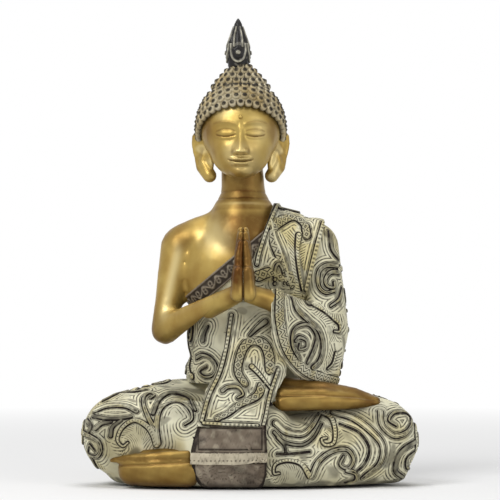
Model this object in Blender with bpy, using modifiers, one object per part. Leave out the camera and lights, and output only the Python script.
"""Seated praying figure, a hollow painted resin casting made in sections.

The sections are bonded at pinned butt joints and sockets. Metres, +Z up. The figure faces -Y, its
right hand is towards -X, and the origin is at the middle of the face that it stands on.
"""

import math

import bmesh
import bpy
from mathutils import Matrix, Vector

MM = 0.001

# Fits
FIT = 0.3 * MM  # bond gap between two sections
PIN_FIT = 0.3 * MM  # radial clearance of a dowel in its bore
WALL = 6.0 * MM  # least wall of the hollow sections

# Base
FELT_THICK = 1.2 * MM
FELT_HALF_WIDTH = 68 * MM
FELT_HALF_DEPTH = 34 * MM
PLATE_THICK = 3.0 * MM
PLATE_HALF_WIDTH = 58 * MM
PLATE_HALF_DEPTH = 27 * MM
CAVITY_Y = 1 * MM
LAP_CAVITY_HEIGHT = 32 * MM
FLOOR_Z = FELT_THICK + FIT

# Crossed legs
KNEE_SPAN = 201 * MM
RIGHT_KNEE_R = 25 * MM
RIGHT_KNEE_LIFT = 3.5 * MM
LEFT_KNEE_R = 25.5 * MM
KNEE_Y = -10 * MM
TRUNK_X = -4 * MM
HIP_HALF = 28 * MM
HIP_Y = 18 * MM
HIP_R = 31 * MM
HIP_Z = 34 * MM
SHIN_R = 22 * MM
ANKLE_R = 17.5 * MM
SHIN_FRONT = -51 * MM
RIGHT_SHIN_END_X = 8 * MM
RIGHT_SHIN_END_Z = 33 * MM
LEFT_SHIN_END_X = -24 * MM
LEFT_SHIN_END_Z = 19 * MM
WAIST_Z = 62 * MM
PELVIS_HALF_WIDTH = 48 * MM
PELVIS_HALF_DEPTH = 34 * MM
PELVIS_OVER_WAIST = 6 * MM
FOOTPRINT_HALF = 81.5 * MM
FOOTPRINT_SHIFT = 4.5 * MM
FOOTPRINT_SHIN_HALF = 58 * MM
FOOTPRINT_FRONT_HALF = 24 * MM
FOOTPRINT_BACK_HALF = 46 * MM
FOOTPRINT_SHIN = -28 * MM
FOOTPRINT_FRONT = -39 * MM
FOOTPRINT_BACK = 38 * MM
FOOTPRINT_EDGE_R = 9 * MM

# Carved scrolls on the lap, in shares of half the knee span and of the waist height
SCROLL_R = 2.2 * MM
SCROLL_END_R = 1.5 * MM
SCROLL_PROUD = 0.8 * MM
SCROLL_SIDES = 6
VIEWS = {
    "front": (Vector((0, 1, 0)), Vector((1, 0, 0)), Vector((0, 0, 1))),
    "back": (Vector((0, -1, 0)), Vector((-1, 0, 0)), Vector((0, 0, 1))),
    "left": (Vector((-1, 0, 0)), Vector((0, 1, 0)), Vector((0, 0, 1))),
    "right": (Vector((1, 0, 0)), Vector((0, -1, 0)), Vector((0, 0, 1))),
    "above": (Vector((0, 0, -1)), Vector((1, 0, 0)), Vector((0, 1, 0))),
}
LAP_SCROLLS = (
    ("front", ((-0.57, 0.50), (-0.60, 0.62), (-0.675, 0.66), (-0.74, 0.58), (-0.765, 0.48))),
    ("front", ((-0.54, 0.70), (-0.51, 0.79), (-0.45, 0.825), (-0.38, 0.80), (-0.346, 0.715))),
    ("front", ((-0.91, 0.72), (-0.835, 0.775), (-0.74, 0.76))),
    ("front", ((-0.945, 0.46), (-0.925, 0.34), (-0.885, 0.32), (-0.865, 0.42))),
    ("front", ((0.16, 0.66), (0.21, 0.54), (0.30, 0.495), (0.385, 0.55))),
    ("front", ((0.43, 0.69), (0.49, 0.62), (0.50, 0.495), (0.45, 0.415))),
    ("front", ((0.346, 0.215), (0.275, 0.31), (0.185, 0.31), (0.15, 0.22))),
    ("front", ((0.60, 0.66), (0.71, 0.53), (0.775, 0.385), (0.74, 0.195))),
    ("front", ((0.52, 0.345), (0.575, 0.38), (0.62, 0.31), (0.58, 0.21), (0.525, 0.155))),
    ("front", ((0.825, 0.74), (0.895, 0.68), (0.91, 0.58), (0.86, 0.54))),
)
LAP_HOOKS = (
    ("back", (-0.78, 0.45), 1),
    ("back", (-0.56, 0.55), -1),
    ("back", (-0.34, 0.43), 1),
    ("back", (-0.12, 0.60), -1),
    ("back", (0.12, 0.42), 1),
    ("back", (0.34, 0.60), -1),
    ("back", (0.56, 0.45), 1),
    ("back", (0.78, 0.55), -1),
    ("left", (-0.10, 0.45), 1),
    ("right", (0.10, 0.48), 1),
    ("above", (-0.55, 0.10), 1),
    ("above", (-0.76, -0.05), -1),
    ("above", (0.60, 0.18), 1),
    ("above", (0.80, 0.02), -1),
)
HOOK = ((-0.07, -0.10), (-0.08, 0.05), (-0.01, 0.13), (0.06, 0.065), (0.045, -0.05))

# Feet
RIGHT_FOOT_LENGTH = 61 * MM
RIGHT_FOOT_R = 9.5 * MM
RIGHT_FOOT_HEEL_X = 19 * MM
RIGHT_FOOT_Y = -33 * MM
RIGHT_FOOT_TURN = math.radians(16)
RIGHT_FOOT_BED = 1.5 * MM
LEFT_FOOT_LENGTH = 50 * MM
LEFT_FOOT_R = 11.5 * MM
LEFT_FOOT_TOES_IN = 31.5 * MM
LEFT_FOOT_TURN = math.radians(16)
LEFT_FOOT_PROUD = 1.5 * MM

# Trunk, its heights counted from the waist
TRUNK_Y = 4 * MM
HIPS_RADII = (33 * MM, 29 * MM, 20 * MM)
HIPS_BACK = 4 * MM
HIPS_RISE = 4 * MM
BELLY_RADII = (31.5 * MM, 27 * MM, 34 * MM)
BELLY_RISE = 28 * MM
CHEST_RADII = (38 * MM, 26 * MM, 36 * MM)
CHEST_RISE = 65 * MM
SHOULDER_HALF = 25 * MM
SHOULDER_R = 14.5 * MM
SHOULDER_RISE = 84 * MM
TRAPEZIUS_R = 25 * MM
NECK_SEAT_RISE = 105 * MM
TRUNK_CAVITY_HEIGHT = 72 * MM
SHOULDER_Z = WAIST_Z + SHOULDER_RISE
NECK_SEAT_Z = WAIST_Z + NECK_SEAT_RISE

# Robe
ROBE_THICK = 2.2 * MM
BAND_THICK = 2.8 * MM
BAND_WIDTH = 8.0 * MM
ROBE_EDGE_TOP_OUT = 30 * MM
ROBE_EDGE_SLANT = math.radians(50)
SASH_THICK = 2.5 * MM
SASH_WIDTH = 32 * MM
SASH_LEAN = math.radians(13)
SASH_OUT = 31 * MM
SASH_END_FRONT_RISE = 50 * MM
SASH_END_BACK_RISE = 16 * MM

# Sash over the lap
LAP_SASH_THICK = 3.2 * MM
LAP_SASH_TOP_RISE = 46 * MM
LAP_SASH_TOP_HALF = 13 * MM
LAP_SASH_END_HALF = 20.5 * MM
LAP_SASH_TOP_X = 2 * MM
LAP_SASH_END_X = -11 * MM
LAP_SASH_HEM_Z = 37 * MM
LAP_SASH_BACK_Y = -14 * MM
TAB_HEM_Z = 18 * MM
TAB_STEP = 1.0 * MM

# Arms, their heights counted from the shoulders
ARM_OUT = 37.5 * MM
ARM_Y = 6 * MM
ARM_DROP = 4 * MM
ARM_SHOULDER_R = 12.5 * MM
ELBOW_OUT = 46.8 * MM
ELBOW_Y = -3 * MM
ELBOW_DROP = 53.5 * MM
ELBOW_R = 9.0 * MM
WRIST_OUT = 11 * MM
WRIST_Y = -42 * MM
WRIST_DROP = 35 * MM
WRIST_R = 6.2 * MM
SLEEVE_PADDING = 3.0 * MM
SLEEVE_OUT = 4.5 * MM
SLEEVE_HANG = 48 * MM
SLEEVE_EDGE_R = 4.5 * MM
CUFF_BACK = 15 * MM
HEM_WIDTH = 7.0 * MM
HEM_FULLNESS = 0.85
WRIST_Z = SHOULDER_Z - WRIST_DROP

# Praying hands
PALM_THICK = 7.2 * MM
PALM_HEIGHT = 17 * MM
PALM_BREADTH = 19 * MM
PALM_BEHIND_WRIST = 3.2 * MM
FINGER_R = 2.6 * MM
FINGER_TIP_R = 2.0 * MM
FINGER_LENGTHS = (21 * MM, 24 * MM, 21.5 * MM, 16.5 * MM)
FINGER_GATHER = 0.3
THUMB_LENGTH = 19 * MM
THUMB_R = 3.0 * MM

# Neck and head, the head's heights counted from the chin
NECK_R = 12.2 * MM
NECK_FLARE = 3.2 * MM
NECK_HEIGHT = 22 * MM
NECK_RINGS = 3
NECK_RING_DEPTH = 0.7 * MM
NECK_IN_HEAD = 6 * MM
HEAD_SHIFT = -1.6 * MM
HEAD_Y = -1 * MM
HEAD_HEIGHT = 55 * MM
SKULL_HALF_HEIGHT = 25.3 * MM
SKULL_HALF_WIDTH = 24 * MM
SKULL_HALF_DEPTH = 27 * MM
JAW_HALF_WIDTH = 18.5 * MM
CHIN_R = 6.2 * MM
NOSE_PROUD = 4.0 * MM
NOSE_TIP_RISE = 18 * MM
NOSE_BRIDGE_RISE = 27.5 * MM
HAIR_THICK = 2.4 * MM
HAIR_TOP_THICK = 4.5 * MM
HAIRLINE_DROP = 11 * MM
HAIRLINE_BACK = 4.6 * MM
HAIRLINE_TILT = math.radians(35)
URNA_R = 1.3 * MM
URNA_RISE = 36 * MM
EAR_LENGTH = 30 * MM
EAR_R = 8.0 * MM
EAR_THICK = 3.0 * MM
EAR_TOP_DROP = 27 * MM
EAR_FLARE = math.radians(26)
EAR_SHELL = ((0, 1 / 3), (1, 1 / 3), (4 / 3, 1), (1, 5 / 3), (0, 2))  # out and down, in radii
USHNISHA_HALF_WIDTH = 17.0 * MM
USHNISHA_RISE = 13.5 * MM
USHNISHA_SINK = 4.0 * MM
CURL_R = 1.9 * MM
CURL_RISE = 1.6 * MM
CURL_SINK = 1.2 * MM
CURL_SPACING = 4.6 * MM
CURL_SIDES = 6
FLAME_HEIGHT = 28.5 * MM
FLAME_SHIFT = -1.5 * MM
FLAME_BED = 3.5 * MM
FLAME_HALF_WIDTH = 8.0 * MM
FLAME_HALF_DEPTH = 6.4 * MM
FLAME_TIP_R = 1.0 * MM
FLAME_TANG_R = 3.0 * MM
FLAME_TANG_LENGTH = 6 * MM
HEAD_X = TRUNK_X + HEAD_SHIFT
NECK_X = TRUNK_X
NECK_Y = TRUNK_Y - FIT
CHIN_Z = NECK_SEAT_Z + NECK_HEIGHT - NECK_IN_HEAD
CROWN_Z = CHIN_Z + HEAD_HEIGHT

# Dowels
NECK_DOWEL_R = 3.0 * MM
NECK_DOWEL_BURY = 12 * MM
SHOULDER_DOWEL_R = 2.2 * MM
SHOULDER_DOWEL_LENGTH = 16 * MM
WRIST_DOWEL_R = 1.5 * MM
WRIST_DOWEL_LENGTH = 12 * MM
WAIST_DOWEL_R = 2.2 * MM
WAIST_DOWEL_LENGTH = 18 * MM

# Sculpted skins: voxel, rounds of relaxing, triangles
LAP_SKIN = (2.5 * MM, 5, 800)
TRUNK_SKIN = (2.2 * MM, 7, 480)
DRAPE_SKIN = (2.2 * MM, 10, 1400)
ARM_SKIN = (1.4 * MM, 4, 380)
SLEEVE_SKIN = (1.8 * MM, 4, 460)
HAND_SKIN = (0.8 * MM, 1, 380)
HEAD_SKIN = (1.1 * MM, 2, 600)
EAR_SKIN = (0.8 * MM, 1, 170)
FLAME_SKIN = (0.8 * MM, 1, 220)
FOOT_SKIN = (1.5 * MM, 3, 220)
SHARP_EDGE = math.radians(40)
FAR = 0.5  # reach of a cutting block


def start_scene():
    """An empty scene with one collection for the sections and one for the cutters."""
    for old in list(bpy.data.objects):
        bpy.data.objects.remove(old, do_unlink=True)
    made = []
    for name in ("praying_figure", "cutters"):
        collection = bpy.data.collections.new(name)
        bpy.context.scene.collection.children.link(collection)
        made.append(collection)
    return made


PARTS, CUTTERS = start_scene()


def paint(name, colour, roughness, metallic):
    """A plain finish."""
    finish = bpy.data.materials.new(name)
    finish.use_nodes = True
    shader = finish.node_tree.nodes["Principled BSDF"]
    shader.inputs["Base Color"].default_value = (*colour, 1)
    shader.inputs["Roughness"].default_value = roughness
    shader.inputs["Metallic"].default_value = metallic
    return finish


GOLD = paint("gold_paint", (0.48, 0.31, 0.09), 0.38, 0.7)
IVORY = paint("antiqued_ivory", (0.55, 0.51, 0.38), 0.6, 0.0)
DARK = paint("dark_bronze", (0.03, 0.025, 0.02), 0.35, 0.3)
FELT = paint("felt", (0.02, 0.02, 0.02), 0.95, 0.0)
BOARD = paint("fibreboard", (0.30, 0.20, 0.11), 0.8, 0.0)
STEEL = paint("steel", (0.55, 0.55, 0.56), 0.35, 1.0)


def mesh_from(bm, name):
    """A mesh datablock from a bmesh, which is freed."""
    mesh = bpy.data.meshes.new(name)
    bm.to_mesh(mesh)
    bm.free()
    return mesh


def ball(centre, radii, segments=20, rings=12):
    """An ellipsoid mesh."""
    bm = bmesh.new()
    if not hasattr(radii, "__len__"):
        radii = (radii,) * 3
    shape = Matrix.Translation(centre) @ Matrix.Diagonal((*radii, 1))
    bmesh.ops.create_uvsphere(bm, u_segments=segments, v_segments=rings, radius=1, matrix=shape)
    return mesh_from(bm, "ball")


def hull(balls):
    """The convex skin round several balls, each a centre and a radius."""
    bm = bmesh.new()
    for centre, radius in balls:
        place = Matrix.Translation(centre)
        bmesh.ops.create_uvsphere(bm, u_segments=16, v_segments=10, radius=radius, matrix=place)
    found = bmesh.ops.convex_hull(bm, input=bm.verts)
    inside = [item for item in found["geom_interior"] if isinstance(item, bmesh.types.BMVert)]
    bmesh.ops.delete(bm, geom=inside, context="VERTS")
    return mesh_from(bm, "hull")


def limb(*balls):
    """A chain of tapered capsules, one mesh for each link."""
    return [hull(pair) for pair in zip(balls, balls[1:])]


def section(name, mesh, finish):
    """A section of the figure in the parts collection."""
    made = bpy.data.objects.new(name, mesh)
    PARTS.objects.link(made)
    mesh.materials.clear()
    mesh.materials.append(finish)
    return made


def cutter(name, mesh):
    """A hidden cutting body."""
    made = bpy.data.objects.new(name, mesh)
    CUTTERS.objects.link(made)
    made.hide_render = True
    made.display_type = "WIRE"
    return made


def bake(made):
    """Writes an object's modifiers into its mesh."""
    graph = bpy.context.evaluated_depsgraph_get()
    finish = list(made.data.materials)
    mesh = bpy.data.meshes.new_from_object(made.evaluated_get(graph))
    made.modifiers.clear()
    made.data = mesh
    mesh.materials.clear()
    for slot in finish:
        mesh.materials.append(slot)


def joined(meshes):
    """Several meshes as one, still overlapping."""
    bm = bmesh.new()
    for mesh in meshes:
        bm.from_mesh(mesh)
    return mesh_from(bm, "joined")


def fuse(name, meshes, finish, settings):
    """Overlapping forms grown into one smooth skin."""
    voxel, rounds, faces = settings
    made = section(name, joined(meshes), finish)
    skin = made.modifiers.new("skin", "REMESH")
    skin.mode = "VOXEL"
    skin.voxel_size = voxel
    relax = made.modifiers.new("relax", "SMOOTH")
    relax.factor = 0.5
    relax.iterations = int(rounds)
    bake(made)
    thin = made.modifiers.new("thin", "DECIMATE")
    thin.ratio = min(1.0, faces / (2 * len(made.data.polygons)))
    bake(made)
    shade(made)
    return made


def shade(made):
    """Smooth shading with sharp edges where the section was cut."""
    made.data.shade_smooth()
    made.data.set_sharp_from_angle(angle=SHARP_EDGE)


def main_body(made):
    """Drops the crumbs that a cut leaves, and keeps the largest closed body."""
    bm = bmesh.new()
    bm.from_mesh(made.data)
    bmesh.ops.triangulate(bm, faces=bm.faces)
    waiting = set(bm.faces)
    islands = []
    while waiting:
        front = [waiting.pop()]
        island = set(front)
        while front:
            for edge in front.pop().edges:
                fresh = [face for face in edge.link_faces if edge.is_manifold and face in waiting]
                waiting.difference_update(fresh)
                island.update(fresh)
                front.extend(fresh)
        islands.append(island)
    islands.sort(key=lambda island: sum(face.calc_area() for face in island))
    crumbs = [face for island in islands[:-1] for face in island]
    bmesh.ops.delete(bm, geom=crumbs, context="FACES")
    bm.to_mesh(made.data)
    bm.free()


def combine(made, others, operation, solver="EXACT"):
    """Cuts, joins or intersects an object with others, one after another. A skin that was grown from a
    form crosses itself in the creases, and only the MANIFOLD solver takes that."""
    for other in others:
        step = made.modifiers.new(operation.lower(), "BOOLEAN")
        step.operation = operation
        step.object = other
        step.solver = solver
        bake(made)
    main_body(made)
    shade(made)


def grown(made, gap):
    """A hidden copy of a section, grown by a gap, which cuts its neighbours clear of it."""
    copy = cutter(f"clear_of_{made.name}", made.data.copy())
    swell = copy.modifiers.new("swell", "DISPLACE")
    swell.strength = gap
    swell.mid_level = 0
    bake(copy)
    return copy


def clear(made, neighbours, gap=FIT):
    """Cuts a section back from its neighbours, which leaves the bond gap. Grown skins graze each other."""
    combine(made, [grown(other, gap) for other in neighbours], "DIFFERENCE", solver="MANIFOLD")


def block(name, low, high):
    """A cutting box between two corners."""
    bm = bmesh.new()
    middle = (Vector(low) + Vector(high)) / 2
    shape = Matrix.Translation(middle) @ Matrix.Diagonal((*(Vector(high) - Vector(low)), 1))
    bmesh.ops.create_cube(bm, size=1, matrix=shape)
    return cutter(name, mesh_from(bm, name))


def half_space(name, point, normal):
    """A cutting box that fills the side of a plane its normal points to."""
    bm = bmesh.new()
    facing = Vector(normal).to_track_quat("Z", "Y").to_matrix().to_4x4()
    shape = Matrix.Translation(point) @ facing @ Matrix.Translation((0, 0, FAR / 2))
    bmesh.ops.create_cube(bm, size=FAR, matrix=shape)
    return cutter(name, mesh_from(bm, name))


def rod_mesh(start, end, radius, segments=16):
    """A round rod between two points."""
    bm = bmesh.new()
    start, end = Vector(start), Vector(end)
    turn = (end - start).to_track_quat("Z", "Y").to_matrix().to_4x4()
    place = Matrix.Translation((start + end) / 2) @ turn
    bmesh.ops.create_cone(
        bm, cap_ends=True, segments=segments, radius1=radius, radius2=radius,
        depth=(end - start).length, matrix=place,
    )
    return mesh_from(bm, "rod")


def dowel(name, start, end, radius, hosts):
    """A steel dowel and the bores that hold it."""
    along = (Vector(end) - Vector(start)).normalized() * FIT
    bore = cutter(f"bore_{name}", rod_mesh(Vector(start) - along, Vector(end) + along, radius + PIN_FIT))
    for host in hosts:
        combine(host, [bore], "DIFFERENCE")
    made = section(name, rod_mesh(start, end, radius), STEEL)
    shade(made)
    return made


def oval(name, half_width, half_depth, low, high, finish=None, segments=48):
    """An upright oval disc, as a section or, with no finish, as a cutter."""
    bm = bmesh.new()
    place = Matrix.Translation((0, CAVITY_Y, (low + high) / 2))
    shape = place @ Matrix.Diagonal((half_width, half_depth, 1, 1))
    bmesh.ops.create_cone(
        bm, cap_ends=True, segments=segments, radius1=1, radius2=1, depth=high - low, matrix=shape
    )
    mesh = mesh_from(bm, name)
    return section(name, mesh, finish) if finish else cutter(name, mesh)


def extruded(name, outline, axis, half_length):
    """A cutter from a flat outline, drawn across the X axis as (y, z) or across the Y axis as (x, z)."""
    curve = bpy.data.curves.new(name, "CURVE")
    curve.dimensions = "2D"
    curve.fill_mode = "BOTH"
    curve.extrude = half_length
    line = curve.splines.new("POLY")
    line.use_cyclic_u = True
    line.points.add(len(outline) - 1)
    for point, (across, up) in zip(line.points, outline):
        point.co = (across, up, 0, 1)
    drawn = bpy.data.objects.new(name, curve)
    bpy.context.scene.collection.objects.link(drawn)
    upright = Matrix.Rotation(math.pi / 2, 4, "X")
    drawn.matrix_world = Matrix.Rotation(math.pi / 2, 4, "Z") @ upright if axis == "X" else upright
    bpy.context.view_layer.update()
    graph = bpy.context.evaluated_depsgraph_get()
    mesh = bpy.data.meshes.new_from_object(drawn.evaluated_get(graph))
    mesh.transform(drawn.matrix_world)
    bpy.data.objects.remove(drawn)
    bm = bmesh.new()
    bm.from_mesh(mesh)
    bmesh.ops.remove_doubles(bm, verts=bm.verts, dist=1e-6)
    bmesh.ops.recalc_face_normals(bm, faces=bm.faces)
    return cutter(name, mesh_from(bm, name))


def mix(a, b, share):
    """The point or number that lies that share of the way from a to b."""
    if hasattr(a, "__len__"):
        return tuple(mix(p, q, share) for p, q in zip(a, b))
    return a + (b - a) * share


def curved(points, steps=3):
    """A smooth curve through a few points, with that many steps between each two."""
    ends = [mix(points[1], points[0], 2), *points, mix(points[-2], points[-1], 2)]
    line = []
    for before, start, end, after in zip(ends, ends[1:], ends[2:], ends[3:]):
        for step in range(steps):
            share = step / steps
            first = mix(mix(before, start, 1 + share), mix(start, end, share), (1 + share) / 2)
            second = mix(mix(start, end, share), mix(end, after, share - 1), share / 2)
            line.append(mix(first, second, share))
    return [*line, points[-1]]


def smooth(share):
    """A share from 0 to 1, eased at both ends."""
    share = max(0.0, min(1.0, share))
    return share * share * (3 - 2 * share)


def knee(side):
    """Centre of a knee. The right side is -1 and the left side 1."""
    radius = RIGHT_KNEE_R if side < 0 else LEFT_KNEE_R
    lift = RIGHT_KNEE_LIFT if side < 0 else 0.0
    return (side * (KNEE_SPAN / 2 - radius), KNEE_Y, FLOOR_Z + radius + lift), radius


def lap_form():
    """Both crossed legs and the seat as one solid, flat below and at the waist."""
    forms = []
    for side in (-1, 1):
        centre, radius = knee(side)
        forms += limb(((TRUNK_X + side * HIP_HALF, HIP_Y, HIP_Z), HIP_R), (centre, radius))
    ankle_y = SHIN_FRONT + ANKLE_R
    right_knee, left_knee = knee(-1)[0], knee(1)[0]
    forms += limb((right_knee, SHIN_R), ((RIGHT_SHIN_END_X, ankle_y, RIGHT_SHIN_END_Z), ANKLE_R))
    forms += limb((left_knee, SHIN_R), ((LEFT_SHIN_END_X, ankle_y, LEFT_SHIN_END_Z), ANKLE_R))
    pelvis_rise = WAIST_Z - HIP_Z + PELVIS_OVER_WAIST
    forms.append(ball((TRUNK_X, HIP_Y, HIP_Z), (PELVIS_HALF_WIDTH, PELVIS_HALF_DEPTH, pelvis_rise)))
    edge_z = FLOOR_Z + FOOTPRINT_EDGE_R - FIT
    corners = []
    for side in (-1, 1):
        corners += [
            (side * FOOTPRINT_HALF + FOOTPRINT_SHIFT, KNEE_Y),
            (side * FOOTPRINT_SHIN_HALF, FOOTPRINT_SHIN),
            (side * FOOTPRINT_FRONT_HALF, FOOTPRINT_FRONT),
            (side * FOOTPRINT_BACK_HALF, FOOTPRINT_BACK),
        ]
    forms.append(hull([((x, y, edge_z), FOOTPRINT_EDGE_R) for x, y in corners]))
    made = fuse("lap_form", forms, IVORY, LAP_SKIN)
    ridges = [scroll_ridge(made, view, outline) for view, outline in LAP_SCROLLS]
    for view, centre, hand in LAP_HOOKS:
        ridges.append(scroll_ridge(made, view, [(centre[0] + hand * x, centre[1] + z) for x, z in HOOK]))
    combine(made, ridges, "UNION")
    combine(made, [half_space("under_floor", (0, 0, FLOOR_Z), (0, 0, -1))], "DIFFERENCE")
    combine(made, [half_space("over_waist", (0, 0, WAIST_Z), (0, 0, 1))], "DIFFERENCE")
    return made


def scroll_ridge(form, view, outline):
    """A carved scroll that stands proud of a form, laid along an outline as it is seen from a side. Its
    points are shares of half the knee span across and of the waist height up."""
    ahead, right, up = VIEWS[view]
    spots = []
    for across, rise in curved(outline):
        eye = right * across * KNEE_SPAN / 2 + up * rise * WAIST_Z - ahead * FAR
        _, spot, normal, _ = form.ray_cast(eye, ahead)
        spots.append((spot, normal))
    bm = bmesh.new()
    rings = []
    for step, (spot, normal) in enumerate(spots):
        before, after = spots[max(step - 1, 0)][0], spots[min(step + 1, len(spots) - 1)][0]
        side = (after - before).cross(normal).normalized()
        radius = SCROLL_R if 0 < step < len(spots) - 1 else SCROLL_END_R
        middle = spot + normal * (SCROLL_PROUD - SCROLL_R)
        turns = [2 * math.pi * corner / SCROLL_SIDES for corner in range(SCROLL_SIDES)]
        ring = [middle + (side * math.cos(turn) + normal * math.sin(turn)) * radius for turn in turns]
        rings.append([bm.verts.new(point) for point in ring])
    for low, high in zip(rings, rings[1:]):
        for corner in range(SCROLL_SIDES):
            after = (corner + 1) % SCROLL_SIDES
            bm.faces.new((low[corner], low[after], high[after], high[corner]))
    bm.faces.new(rings[0])
    bm.faces.new(rings[-1])
    bmesh.ops.recalc_face_normals(bm, faces=bm.faces)
    return cutter("scroll", mesh_from(bm, "scroll"))


def trunk_shapes():
    """The rounded masses of the trunk."""
    forms = [
        ball((TRUNK_X, TRUNK_Y + HIPS_BACK, WAIST_Z + HIPS_RISE), HIPS_RADII),
        ball((TRUNK_X, TRUNK_Y, WAIST_Z + BELLY_RISE), BELLY_RADII),
        ball((TRUNK_X, TRUNK_Y, WAIST_Z + CHEST_RISE), CHEST_RADII),
    ]
    ends = [(TRUNK_X + side * SHOULDER_HALF, ARM_Y, SHOULDER_Z) for side in (-1, 1)]
    forms += limb((ends[0], SHOULDER_R), (ends[1], SHOULDER_R))
    forms += limb(
        ((TRUNK_X, TRUNK_Y, SHOULDER_Z), TRAPEZIUS_R), ((NECK_X, NECK_Y, NECK_SEAT_Z), NECK_R + NECK_FLARE)
    )
    return forms


def trunk_form():
    """The bare trunk as one solid, flat at the waist and at the neck."""
    made = fuse("trunk_form", trunk_shapes(), GOLD, TRUNK_SKIN)
    combine(made, [half_space("under_waist", (0, 0, WAIST_Z + FIT), (0, 0, -1))], "DIFFERENCE")
    combine(made, [half_space("over_neck", (0, 0, NECK_SEAT_Z - FIT), (0, 0, 1))], "DIFFERENCE")
    return made


def hidden(made):
    """Turns a form into a cutter."""
    PARTS.objects.unlink(made)
    CUTTERS.objects.link(made)
    made.hide_render = True
    made.display_type = "WIRE"
    return made


def copy_of(form, name, finish):
    """A section with the shape of a form."""
    return section(name, form.data.copy(), finish)


def trunk_cavity():
    """The hollow that runs from the lap up into the chest."""
    radii = (BELLY_RADII[0] - WALL - ROBE_THICK, BELLY_RADII[1] - WALL - ROBE_THICK, TRUNK_CAVITY_HEIGHT)
    return cutter("trunk_cavity", ball((TRUNK_X, TRUNK_Y, WAIST_Z), radii))


def base_sections(lap):
    """The hollow of the lap, the plate that closes it and the felt under it."""
    hollow = oval("lap_cavity", PLATE_HALF_WIDTH + FIT, PLATE_HALF_DEPTH + FIT, -FLOOR_Z, LAP_CAVITY_HEIGHT)
    combine(lap, [hollow], "DIFFERENCE")
    oval("base_plate", PLATE_HALF_WIDTH, PLATE_HALF_DEPTH, FLOOR_Z, FLOOR_Z + PLATE_THICK, BOARD)
    oval("felt_base", FELT_HALF_WIDTH, FELT_HALF_DEPTH, 0, FELT_THICK, FELT)


def edge_plane(name, offset):
    """The half of space on the robe's side of its slanting edge, moved into the robe by an offset."""
    normal = Vector((math.cos(ROBE_EDGE_SLANT), 0, -math.sin(ROBE_EDGE_SLANT)))
    top = Vector((TRUNK_X + ROBE_EDGE_TOP_OUT, 0, NECK_SEAT_Z))
    return half_space(name, top + normal * offset, normal)


def sash_form():
    """What the folded cloth lies on, the trunk and the sleeved left shoulder, less the robe's thickness."""
    shoulder, elbow, _ = joint_points(1, SLEEVE_OUT)
    inside = SLEEVE_PADDING - ROBE_THICK
    upper_arm = limb((shoulder, ARM_SHOULDER_R + inside), (elbow, ELBOW_R + inside))
    return fuse("sash_form", [*trunk_shapes(), *upper_arm], IVORY, TRUNK_SKIN)


def sash_edge(side):
    """A point on an edge of the folded cloth, and the way square to that edge. The inner side is -1."""
    lean = Vector((math.cos(SASH_LEAN), 0, -math.sin(SASH_LEAN)))
    middle = Vector((TRUNK_X + SASH_OUT, 0, SHOULDER_Z + SHOULDER_R))
    return middle + lean * side * SASH_WIDTH / 2, lean * side


def robe_sections(form):
    """The wrapped robe and the border band along its slanting edge."""
    under_waist = half_space("robe_floor", (0, 0, WAIST_Z + FIT), (0, 0, -1))
    over_neck = half_space("robe_ceiling", (0, 0, NECK_SEAT_Z + ROBE_THICK), (0, 0, 1))
    robe = section("robe_wrap", grown(form, ROBE_THICK).data.copy(), IVORY)
    combine(robe, [edge_plane("robe_side", BAND_WIDTH + FIT)], "INTERSECT", solver="MANIFOLD")
    combine(robe, [under_waist, over_neck, grown(form, FIT)], "DIFFERENCE", solver="MANIFOLD")
    band = section("chest_band", grown(form, BAND_THICK).data.copy(), IVORY)
    combine(band, [edge_plane("band_side", 0)], "INTERSECT", solver="MANIFOLD")
    at_sash, outwards = sash_edge(-1)
    band_end = half_space("band_end", at_sash + outwards * FIT, -outwards)
    limits = [edge_plane("band_limit", BAND_WIDTH), band_end, under_waist, over_neck, grown(form, FIT)]
    combine(band, limits, "DIFFERENCE", solver="MANIFOLD")
    return robe, band


def shoulder_sash(trunk, neighbours):
    """The folded cloth that lies over the robe on the left shoulder, from the chest to the back."""
    shape = hidden(sash_form())
    made = section("shoulder_sash", grown(shape, ROBE_THICK + FIT + SASH_THICK).data.copy(), IVORY)
    limits = [
        half_space("sash_inner_edge", *sash_edge(-1)),
        half_space("sash_outer_edge", *sash_edge(1)),
        block("sash_front_end", (-FAR, -FAR, 0), (FAR, TRUNK_Y, WAIST_Z + SASH_END_FRONT_RISE)),
        block("sash_back_end", (-FAR, TRUNK_Y - FIT, 0), (FAR, FAR, WAIST_Z + SASH_END_BACK_RISE)),
        half_space("sash_ceiling", (0, 0, NECK_SEAT_Z + ROBE_THICK), (0, 0, 1)),
    ]
    combine(made, limits, "DIFFERENCE", solver="MANIFOLD")
    clear(made, [trunk], ROBE_THICK + 2 * FIT)
    clear(made, neighbours)
    return made


def sash_outline(low, high):
    """Front outline of the cloth that hangs over the lap, between two heights, as (x, z)."""
    rows = 8
    sides = {-1: [], 1: []}
    for row in range(rows + 1):
        z = mix(high, low, row / rows)
        top = WAIST_Z + LAP_SASH_TOP_RISE
        share = smooth((top - z) / (top - LAP_SASH_HEM_Z))
        middle = mix(LAP_SASH_TOP_X, LAP_SASH_END_X, share)
        half = mix(LAP_SASH_TOP_HALF, LAP_SASH_END_HALF, share)
        for side in sides:
            sides[side].append((middle + side * half, z))
    return sides[-1] + sides[1][::-1]


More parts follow.
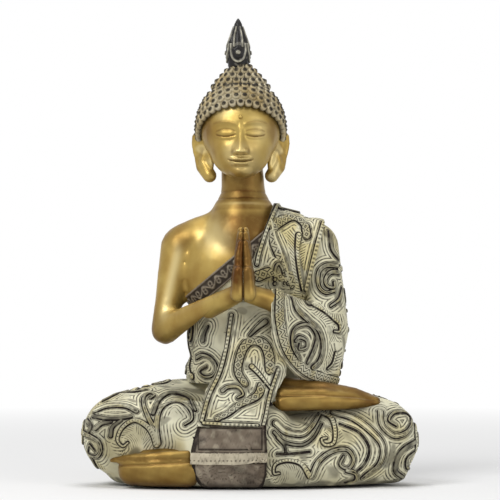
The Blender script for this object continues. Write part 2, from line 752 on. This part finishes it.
def drape_form(trunk, lap):
    """Robed trunk and lap with the crease between them filled, as cloth bridges it."""
    belly_y = TRUNK_Y - BELLY_RADII[1] + LAP_SASH_TOP_HALF
    belly = ((LAP_SASH_TOP_X, belly_y, WAIST_Z + BELLY_RISE), LAP_SASH_TOP_HALF)
    front = ((LAP_SASH_END_X, SHIN_FRONT + ANKLE_R, RIGHT_SHIN_END_Z), ANKLE_R)
    foot = ((LAP_SASH_END_X, SHIN_FRONT + ANKLE_R, FLOOR_Z + ANKLE_R), ANKLE_R)
    forms = [grown(trunk, ROBE_THICK).data, lap.data, *limb(belly, front, foot)]
    return hidden(fuse("drape_form", forms, IVORY, DRAPE_SKIN))


def lap_sash(name, drape, thick, low, high, neighbours):
    """One layer of the cloth that hangs over the lap."""
    made = section(name, grown(drape, thick).data.copy(), IVORY)
    outline = extruded(f"outline_{name}", sash_outline(low, high), "Y", FAR / 2)
    combine(made, [outline], "INTERSECT", solver="MANIFOLD")
    behind = block(f"behind_{name}", (-FAR, LAP_SASH_BACK_Y, 0), (FAR, FAR, FAR))
    combine(made, [behind], "DIFFERENCE", solver="MANIFOLD")
    clear(made, neighbours)
    return made


def joint_points(side, out=0.0):
    """Shoulder, elbow and wrist of an arm."""
    shoulder = (TRUNK_X + side * (ARM_OUT + out), ARM_Y, SHOULDER_Z - ARM_DROP)
    elbow = (TRUNK_X + side * (ELBOW_OUT + out), ELBOW_Y, SHOULDER_Z - ELBOW_DROP)
    wrist = (TRUNK_X + side * (WRIST_OUT + out), WRIST_Y, WRIST_Z)
    return shoulder, elbow, wrist


def right_arm(neighbours):
    """The bare arm."""
    shoulder, elbow, wrist = joint_points(-1)
    forms = limb((shoulder, ARM_SHOULDER_R), (elbow, ELBOW_R), (wrist, WRIST_R))
    made = fuse("right_arm", forms, GOLD, ARM_SKIN)
    clear(made, neighbours)
    return made


def cuff_point():
    """Where the sleeve ends on the left forearm, short of the wrist."""
    _, elbow, wrist = joint_points(1, SLEEVE_OUT)
    back = (Vector(elbow) - Vector(wrist)).normalized() * CUFF_BACK
    return tuple(Vector(wrist) + back)


def hem_curve(inset, steps=10):
    """Lower edge of the sleeve in front view, from the cuff round to under the elbow, as (x, y, z)."""
    elbow, cuff = joint_points(1, SLEEVE_OUT)[1], cuff_point()
    start_x = cuff[0] - WRIST_R + inset
    end_x = elbow[0] + SLEEVE_PADDING
    start_z = cuff[2] + WRIST_R / 2
    end_z = WRIST_Z - SLEEVE_HANG + inset
    points = []
    for step in range(steps + 1):
        turn = math.pi / 2 * step / steps
        x = end_x - (end_x - start_x) * math.cos(turn) ** HEM_FULLNESS
        z = start_z - (start_z - end_z) * math.sin(turn) ** HEM_FULLNESS
        y = mix(cuff[1] - WRIST_R, ELBOW_Y - ELBOW_R, smooth(step / steps))
        points.append((x, y, z))
    return points


def sleeve_sections(neighbours):
    """The hanging sleeve of the left arm and the border along its lower edge."""
    shoulder, elbow, _ = joint_points(1, SLEEVE_OUT)
    cuff = cuff_point()
    forms = limb(
        (shoulder, ARM_SHOULDER_R + SLEEVE_PADDING),
        (elbow, ELBOW_R + SLEEVE_PADDING),
        (cuff, WRIST_R + SLEEVE_PADDING / 2),
    )
    edge = [(point, SLEEVE_EDGE_R) for point in hem_curve(SLEEVE_EDGE_R, 6)]
    forms.append(hull([*edge, (elbow, ELBOW_R + SLEEVE_PADDING), (cuff, WRIST_R)]))
    made = fuse("robe_sleeve", forms, IVORY, SLEEVE_SKIN)
    clear(made, neighbours)
    outer = [(x, z) for x, _, z in hem_curve(-WALL * 2)]
    over_wrist = WRIST_Z + WALL * 3
    borders = []
    for width in (HEM_WIDTH, HEM_WIDTH + FIT):
        inner = [(x, z) for x, _, z in hem_curve(width)]
        outline = [(outer[0][0], over_wrist), *outer, *inner[::-1], (inner[0][0], over_wrist)]
        borders.append(extruded("hem_border", outline, "Y", FAR / 2))
    hem = copy_of(made, "sleeve_hem", IVORY)
    combine(hem, borders[:1], "INTERSECT", solver="MANIFOLD")
    combine(made, borders[1:], "DIFFERENCE", solver="MANIFOLD")
    return made, hem


def hand(name, side, forearm):
    """One of the two hands pressed palm to palm, with its wrist and the bare part of its forearm."""
    wrist = forearm[-1]
    palm_r = PALM_THICK / 2
    near_y = WRIST_Y + PALM_BEHIND_WRIST
    far_y = near_y - PALM_BREADTH
    middle_y = (near_y + far_y) / 2
    heel_z, roots_z = WRIST_Z + palm_r, WRIST_Z + PALM_HEIGHT
    forms = limb(*((point, WRIST_R) for point in forearm)) if len(forearm) > 1 else []
    forms += limb((wrist, WRIST_R), ((TRUNK_X + side * palm_r, middle_y, heel_z), WRIST_R - FINGER_R / 2))
    corners = [(y, z) for y in (near_y, far_y) for z in (heel_z, roots_z)]
    forms.append(hull([((TRUNK_X + side * palm_r, y, z), palm_r) for y, z in corners]))
    for count, length in enumerate(FINGER_LENGTHS):
        y = mix(near_y, far_y, (count + 0.5) / len(FINGER_LENGTHS))
        root = ((TRUNK_X + side * (FINGER_R + FIT), y, roots_z), FINGER_R)
        tip_y = mix(y, middle_y, FINGER_GATHER)
        tip = ((TRUNK_X + side * FINGER_TIP_R, tip_y, roots_z + length), FINGER_TIP_R)
        forms += limb(root, tip)
    thumb_root = ((TRUNK_X + side * (PALM_THICK - THUMB_R), near_y + FINGER_R / 2, heel_z), THUMB_R)
    thumb_tip = ((TRUNK_X + side * THUMB_R, near_y + THUMB_R, heel_z + THUMB_LENGTH), FINGER_R)
    forms += limb(thumb_root, thumb_tip)
    made = fuse(name, forms, GOLD, HAND_SKIN)
    between = half_space(f"between_{name}", (TRUNK_X + side * FIT / 2, 0, 0), (-side, 0, 0))
    combine(made, [between], "DIFFERENCE")
    return made


def neck_section():
    """The neck, turned, with its rings."""
    rows = NECK_RINGS * 3
    profile = [(0.0, NECK_HEIGHT)]
    for row in range(rows + 1):
        down = row / rows
        flare = NECK_FLARE * down ** 2.2
        ring = NECK_RING_DEPTH * abs(math.sin(math.pi * NECK_RINGS * down))
        profile.append((NECK_R + flare + ring, NECK_HEIGHT * (1 - down)))
    profile.append((0.0, 0.0))
    bm = bmesh.new()
    spots = [bm.verts.new((x, 0, z)) for x, z in profile]
    for pair in zip(spots, spots[1:]):
        bm.edges.new(pair)
    made = section("neck", mesh_from(bm, "neck"), GOLD)
    turn = made.modifiers.new("turn", "SCREW")
    turn.steps = turn.render_steps = 18
    turn.use_merge_vertices = True
    turn.merge_threshold = 1e-5
    bake(made)
    made.data.transform(Matrix.Translation((NECK_X, NECK_Y, NECK_SEAT_Z)))
    main_body(made)
    shade(made)
    return made


def skull_frame():
    """Centre and radii of the skull."""
    radii = (SKULL_HALF_WIDTH, SKULL_HALF_DEPTH, SKULL_HALF_HEIGHT)
    return (HEAD_X, HEAD_Y, CROWN_Z - SKULL_HALF_HEIGHT), radii


def head_section(neck):
    """Skull, jaw, chin and nose, with the socket for the neck."""
    centre, radii = skull_frame()
    face_y = HEAD_Y - SKULL_HALF_DEPTH
    forms = [
        ball(centre, radii),
        ball((HEAD_X, face_y + JAW_HALF_WIDTH, CHIN_Z + JAW_HALF_WIDTH), JAW_HALF_WIDTH),
        ball((HEAD_X, face_y + JAW_HALF_WIDTH / 2, CHIN_Z + CHIN_R), CHIN_R),
    ]
    bridge = ((HEAD_X, face_y + NOSE_PROUD / 3, CHIN_Z + NOSE_BRIDGE_RISE), NOSE_PROUD / 2)
    tip = ((HEAD_X, face_y - NOSE_PROUD / 3, CHIN_Z + NOSE_TIP_RISE), NOSE_PROUD * 2 / 3)
    forms += limb(bridge, tip)
    made = fuse("head_shell", forms, GOLD, HEAD_SKIN)
    clear(made, [neck])
    return made


def hair_section(head):
    """The cap of hair, cut along the hairline and hollow for the head."""
    centre, radii = skull_frame()
    radii = Vector(radii) + Vector((HAIR_THICK, HAIR_THICK, HAIR_TOP_THICK))
    made = section("hair_cap", ball(centre, radii, 24, 14), IVORY)
    hairline = Vector((HEAD_X, HEAD_Y - SKULL_HALF_DEPTH + HAIRLINE_BACK, CROWN_Z - HAIRLINE_DROP))
    up = Vector((0, math.sin(HAIRLINE_TILT), math.cos(HAIRLINE_TILT)))
    combine(made, [half_space("hairline", hairline, up)], "INTERSECT")
    knot, knot_radii = knot_frame()
    places = []
    for spot, normal in curl_places(centre, radii, up, math.pi):
        on_cap = (spot - hairline).dot(up) > CURL_R + FIT
        out = Vector((p / r for p, r in zip(spot - knot, knot_radii))).length
        if on_cap and out > 1 + CURL_R / knot_radii.x:
            places.append((spot, normal))
    combine(made, [curls("hair_curls", places)], "UNION")
    clear(made, [head])
    return made


def knot_frame():
    """Centre and radii of the knot on the crown."""
    radii = Vector((USHNISHA_HALF_WIDTH, USHNISHA_HALF_WIDTH, USHNISHA_RISE + USHNISHA_SINK))
    return Vector((HEAD_X, HEAD_Y + HAIR_THICK, CROWN_Z - USHNISHA_SINK)), radii


def curl_places(centre, radii, axis, widest):
    """Place and normal of each curl, in staggered rows on an ellipsoid, as far as an angle from an axis."""
    across = Vector((1, 0, 0))
    ahead = axis.cross(across)
    mean = sum(radii) / len(radii)
    rows = int(widest * mean / CURL_SPACING)
    for row in range(1, rows):
        angle = row * CURL_SPACING / mean
        count = max(1, int(math.tau * math.sin(angle) * mean / CURL_SPACING))
        for step in range(count):
            turn = math.tau * (step + row % 2 / 2) / count
            out = across * math.sin(turn) + ahead * math.cos(turn)
            way = axis * math.cos(angle) + out * math.sin(angle)
            spot = way / Vector((w / r for w, r in zip(way, radii))).length
            normal = Vector((p / r**2 for p, r in zip(spot, radii))).normalized()
            yield Vector(centre) + spot, normal


def curls(name, places):
    """Pointed curls, one for each place and normal."""
    bm = bmesh.new()
    for spot, normal in places:
        turn = normal.to_track_quat("Z", "Y").to_matrix().to_4x4()
        place = Matrix.Translation(spot + normal * (CURL_RISE - CURL_SINK) / 2) @ turn
        depth = CURL_RISE + CURL_SINK
        bmesh.ops.create_cone(
            bm, cap_ends=True, segments=CURL_SIDES, radius1=CURL_R, radius2=0, depth=depth, matrix=place
        )
    return cutter(name, mesh_from(bm, name))


def ushnisha_section(neighbours):
    """The knot on the crown."""
    centre, radii = knot_frame()
    made = section("ushnisha", ball(centre, radii, 18, 10), IVORY)
    under_flame = centre.z + radii.z - FLAME_BED
    places = [
        place for place in curl_places(centre, radii, Vector((0, 0, 1)), math.pi / 2)
        if CROWN_Z + HAIR_TOP_THICK - HAIR_THICK < place[0].z < under_flame
    ]
    combine(made, [curls("knot_curls", places)], "UNION")
    clear(made, neighbours)
    return made


def flame_section(ushnisha):
    """The flame that stands on the crown, with the tang that holds it."""
    base = CROWN_Z + USHNISHA_RISE
    x, y = HEAD_X + FLAME_SHIFT, HEAD_Y + HAIR_THICK
    bulb_z = base + FLAME_HALF_WIDTH - FIT
    forms = [ball((x, y, bulb_z), (FLAME_HALF_WIDTH, FLAME_HALF_DEPTH, FLAME_HALF_WIDTH))]
    tip_z = base + FLAME_HEIGHT - FLAME_TIP_R
    forms += limb(((x, y, bulb_z), FLAME_HALF_DEPTH), ((x, y, tip_z), FLAME_TIP_R))
    made = fuse("flame_finial", forms, DARK, FLAME_SKIN)
    clear(made, [ushnisha])
    low, high = (x, y, base - FLAME_TANG_LENGTH), (x, y, bulb_z)
    deeper = (x, y, base - FLAME_TANG_LENGTH - FIT)
    combine(made, [cutter("tang", rod_mesh(low, high, FLAME_TANG_R))], "UNION")
    bore = cutter("bore_flame", rod_mesh(deeper, high, FLAME_TANG_R + PIN_FIT))
    combine(ushnisha, [bore], "DIFFERENCE")
    return made


def ear_section(name, side, neighbours):
    """One ear with its long lobe."""
    top = CROWN_Z - EAR_TOP_DROP
    rim = EAR_THICK / 2
    root = Vector((HEAD_X + side * (SKULL_HALF_WIDTH - rim), HEAD_Y, top))
    out = Vector((side * math.sin(EAR_FLARE), math.cos(EAR_FLARE), 0)) * EAR_R
    down = Vector((0, 0, -EAR_R))
    shell = hull([(root + out * across + down * below, rim) for across, below in EAR_SHELL])
    lobe_top = root + out / 2 + down * EAR_SHELL[3][1]
    lobe_end = Vector((HEAD_X + side * (JAW_HALF_WIDTH + rim), HEAD_Y, top - EAR_LENGTH + EAR_THICK))
    made = fuse(name, [shell, *limb((lobe_top, EAR_THICK), (lobe_end, EAR_THICK))], GOLD, EAR_SKIN)
    clear(made, neighbours)
    return made


def urna_section(head):
    """The bead on the forehead, set on the skin where a ray from the front meets it."""
    start = Vector((HEAD_X, -FAR, CHIN_Z + URNA_RISE))
    spot = head.ray_cast(start, (0, 1, 0))[1]
    made = section("urna", ball(spot, URNA_R, 12, 8), GOLD)
    clear(made, [head])
    return made


def feet_sections(lap):
    """The left foot, set into the front of the lap, and the right foot, laid on the left thigh."""
    reach = LEFT_FOOT_LENGTH - LEFT_FOOT_R
    along = Vector((-math.cos(LEFT_FOOT_TURN), math.sin(LEFT_FOOT_TURN), 0)) * reach
    heel_x = LEFT_FOOT_TOES_IN - KNEE_SPAN / 2 - along.x
    heel = Vector((heel_x, SHIN_FRONT + LEFT_FOOT_R - LEFT_FOOT_PROUD, FLOOR_Z + LEFT_FOOT_R))
    toe = heel + along
    left = fuse("left_foot", limb((heel, LEFT_FOOT_R), (toe, LEFT_FOOT_R)), GOLD, FOOT_SKIN)
    combine(left, [half_space("foot_floor", (0, 0, FLOOR_Z), (0, 0, -1))], "DIFFERENCE")
    clear(lap, [left])
    bed_z = RIGHT_SHIN_END_Z + ANKLE_R + RIGHT_FOOT_BED
    heel = Vector((RIGHT_FOOT_HEEL_X, RIGHT_FOOT_Y, bed_z))
    along = Vector((math.cos(RIGHT_FOOT_TURN), math.sin(RIGHT_FOOT_TURN), 0))
    ball_of_foot = heel + along * (RIGHT_FOOT_LENGTH - RIGHT_FOOT_R) * 2 / 3
    toes = heel + along * (RIGHT_FOOT_LENGTH - RIGHT_FOOT_R)
    forms = limb((heel, RIGHT_FOOT_R), (ball_of_foot, RIGHT_FOOT_R), (toes, RIGHT_FOOT_R / 2))
    right = fuse("right_foot", forms, GOLD, FOOT_SKIN)
    return left, right


def build():
    """All the sections, each cut clear of those that were placed before it."""
    trunk = hidden(trunk_form())
    legs = hidden(lap_form())
    drape = drape_form(trunk, legs)
    hollow = trunk_cavity()

    lap = copy_of(legs, "lap_shell", IVORY)
    torso = copy_of(trunk, "torso_shell", GOLD)
    combine(lap, [hollow], "DIFFERENCE")
    combine(torso, [hollow], "DIFFERENCE")
    left_foot, right_foot = feet_sections(lap)
    base_sections(lap)

    neck = neck_section()
    head = head_section(neck)
    hair = hair_section(head)
    ushnisha = ushnisha_section([hair, head])
    flame_section(ushnisha)
    for name, side in (("right_ear", -1), ("left_ear", 1)):
        ear_section(name, side, [head, hair])
    urna_section(head)

    robe, band = robe_sections(trunk)
    for cloth in (robe, band):
        clear(cloth, [neck])
    top = WAIST_Z + LAP_SASH_TOP_RISE
    upper = lap_sash("sash_front", drape, LAP_SASH_THICK, LAP_SASH_HEM_Z, top, [trunk, legs, robe, band])
    tab_thick, tail_thick = LAP_SASH_THICK - TAB_STEP, LAP_SASH_THICK - 2 * TAB_STEP
    lap_sash("sash_tab", drape, tab_thick, TAB_HEM_Z, LAP_SASH_HEM_Z - FIT, [legs, left_foot])
    lap_sash("sash_tail", drape, tail_thick, FLOOR_Z, TAB_HEM_Z - FIT, [legs, left_foot])

    arm = right_arm([trunk, robe, band])
    right_hand = hand("right_hand", -1, [joint_points(-1)[2]])
    left_hand = hand("left_hand", 1, [cuff_point(), joint_points(1, SLEEVE_OUT)[2]])
    clear(right_hand, [arm, trunk, robe, band, upper])
    clear(left_hand, [trunk, robe, band, upper])
    sleeve, hem = sleeve_sections([trunk, robe, band, legs, left_hand, upper])
    sash = shoulder_sash(trunk, [robe, sleeve, hem, upper, left_hand, neck])
    clear(right_foot, [legs, upper, sleeve, hem])

    neck_low = (NECK_X, NECK_Y, NECK_SEAT_Z - NECK_DOWEL_BURY)
    neck_high = (NECK_X, NECK_Y, NECK_SEAT_Z + NECK_HEIGHT + NECK_DOWEL_BURY)
    dowel("neck_dowel", neck_low, neck_high, NECK_DOWEL_R, [torso, neck, head])
    reach = SHOULDER_HALF + SHOULDER_R
    half = SHOULDER_DOWEL_LENGTH / 2
    arm_z = SHOULDER_Z - ARM_DROP
    for name, side, hosts in (
        ("right_shoulder_dowel", -1, [torso, arm]),
        ("left_shoulder_dowel", 1, [torso, robe, sash, sleeve]),
    ):
        inner, outer = ((TRUNK_X + side * (reach + end * half), ARM_Y, arm_z) for end in (-1, 1))
        dowel(name, inner, outer, SHOULDER_DOWEL_R, hosts)
    waist_half = (BELLY_RADII[0] - WALL - ROBE_THICK + HIPS_RADII[0]) / 2 - 2 * FIT
    for name, side in (("right_waist_dowel", -1), ("left_waist_dowel", 1)):
        x = TRUNK_X + side * waist_half
        low, high = ((x, TRUNK_Y, WAIST_Z + end * WAIST_DOWEL_LENGTH / 2) for end in (-1, 1))
        dowel(name, low, high, WAIST_DOWEL_R, [lap, torso])
    for name, side, out, seat, hosts in (
        ("right_wrist_dowel", -1, 0.0, joint_points(-1)[2], [arm, right_hand]),
        ("left_wrist_dowel", 1, SLEEVE_OUT, cuff_point(), [sleeve, hem, left_hand]),
    ):
        _, elbow, wrist = joint_points(side, out)
        along = (Vector(wrist) - Vector(elbow)).normalized() * WRIST_DOWEL_LENGTH / 2
        dowel(name, Vector(seat) - along, Vector(seat) + along, WRIST_DOWEL_R, hosts)


build()
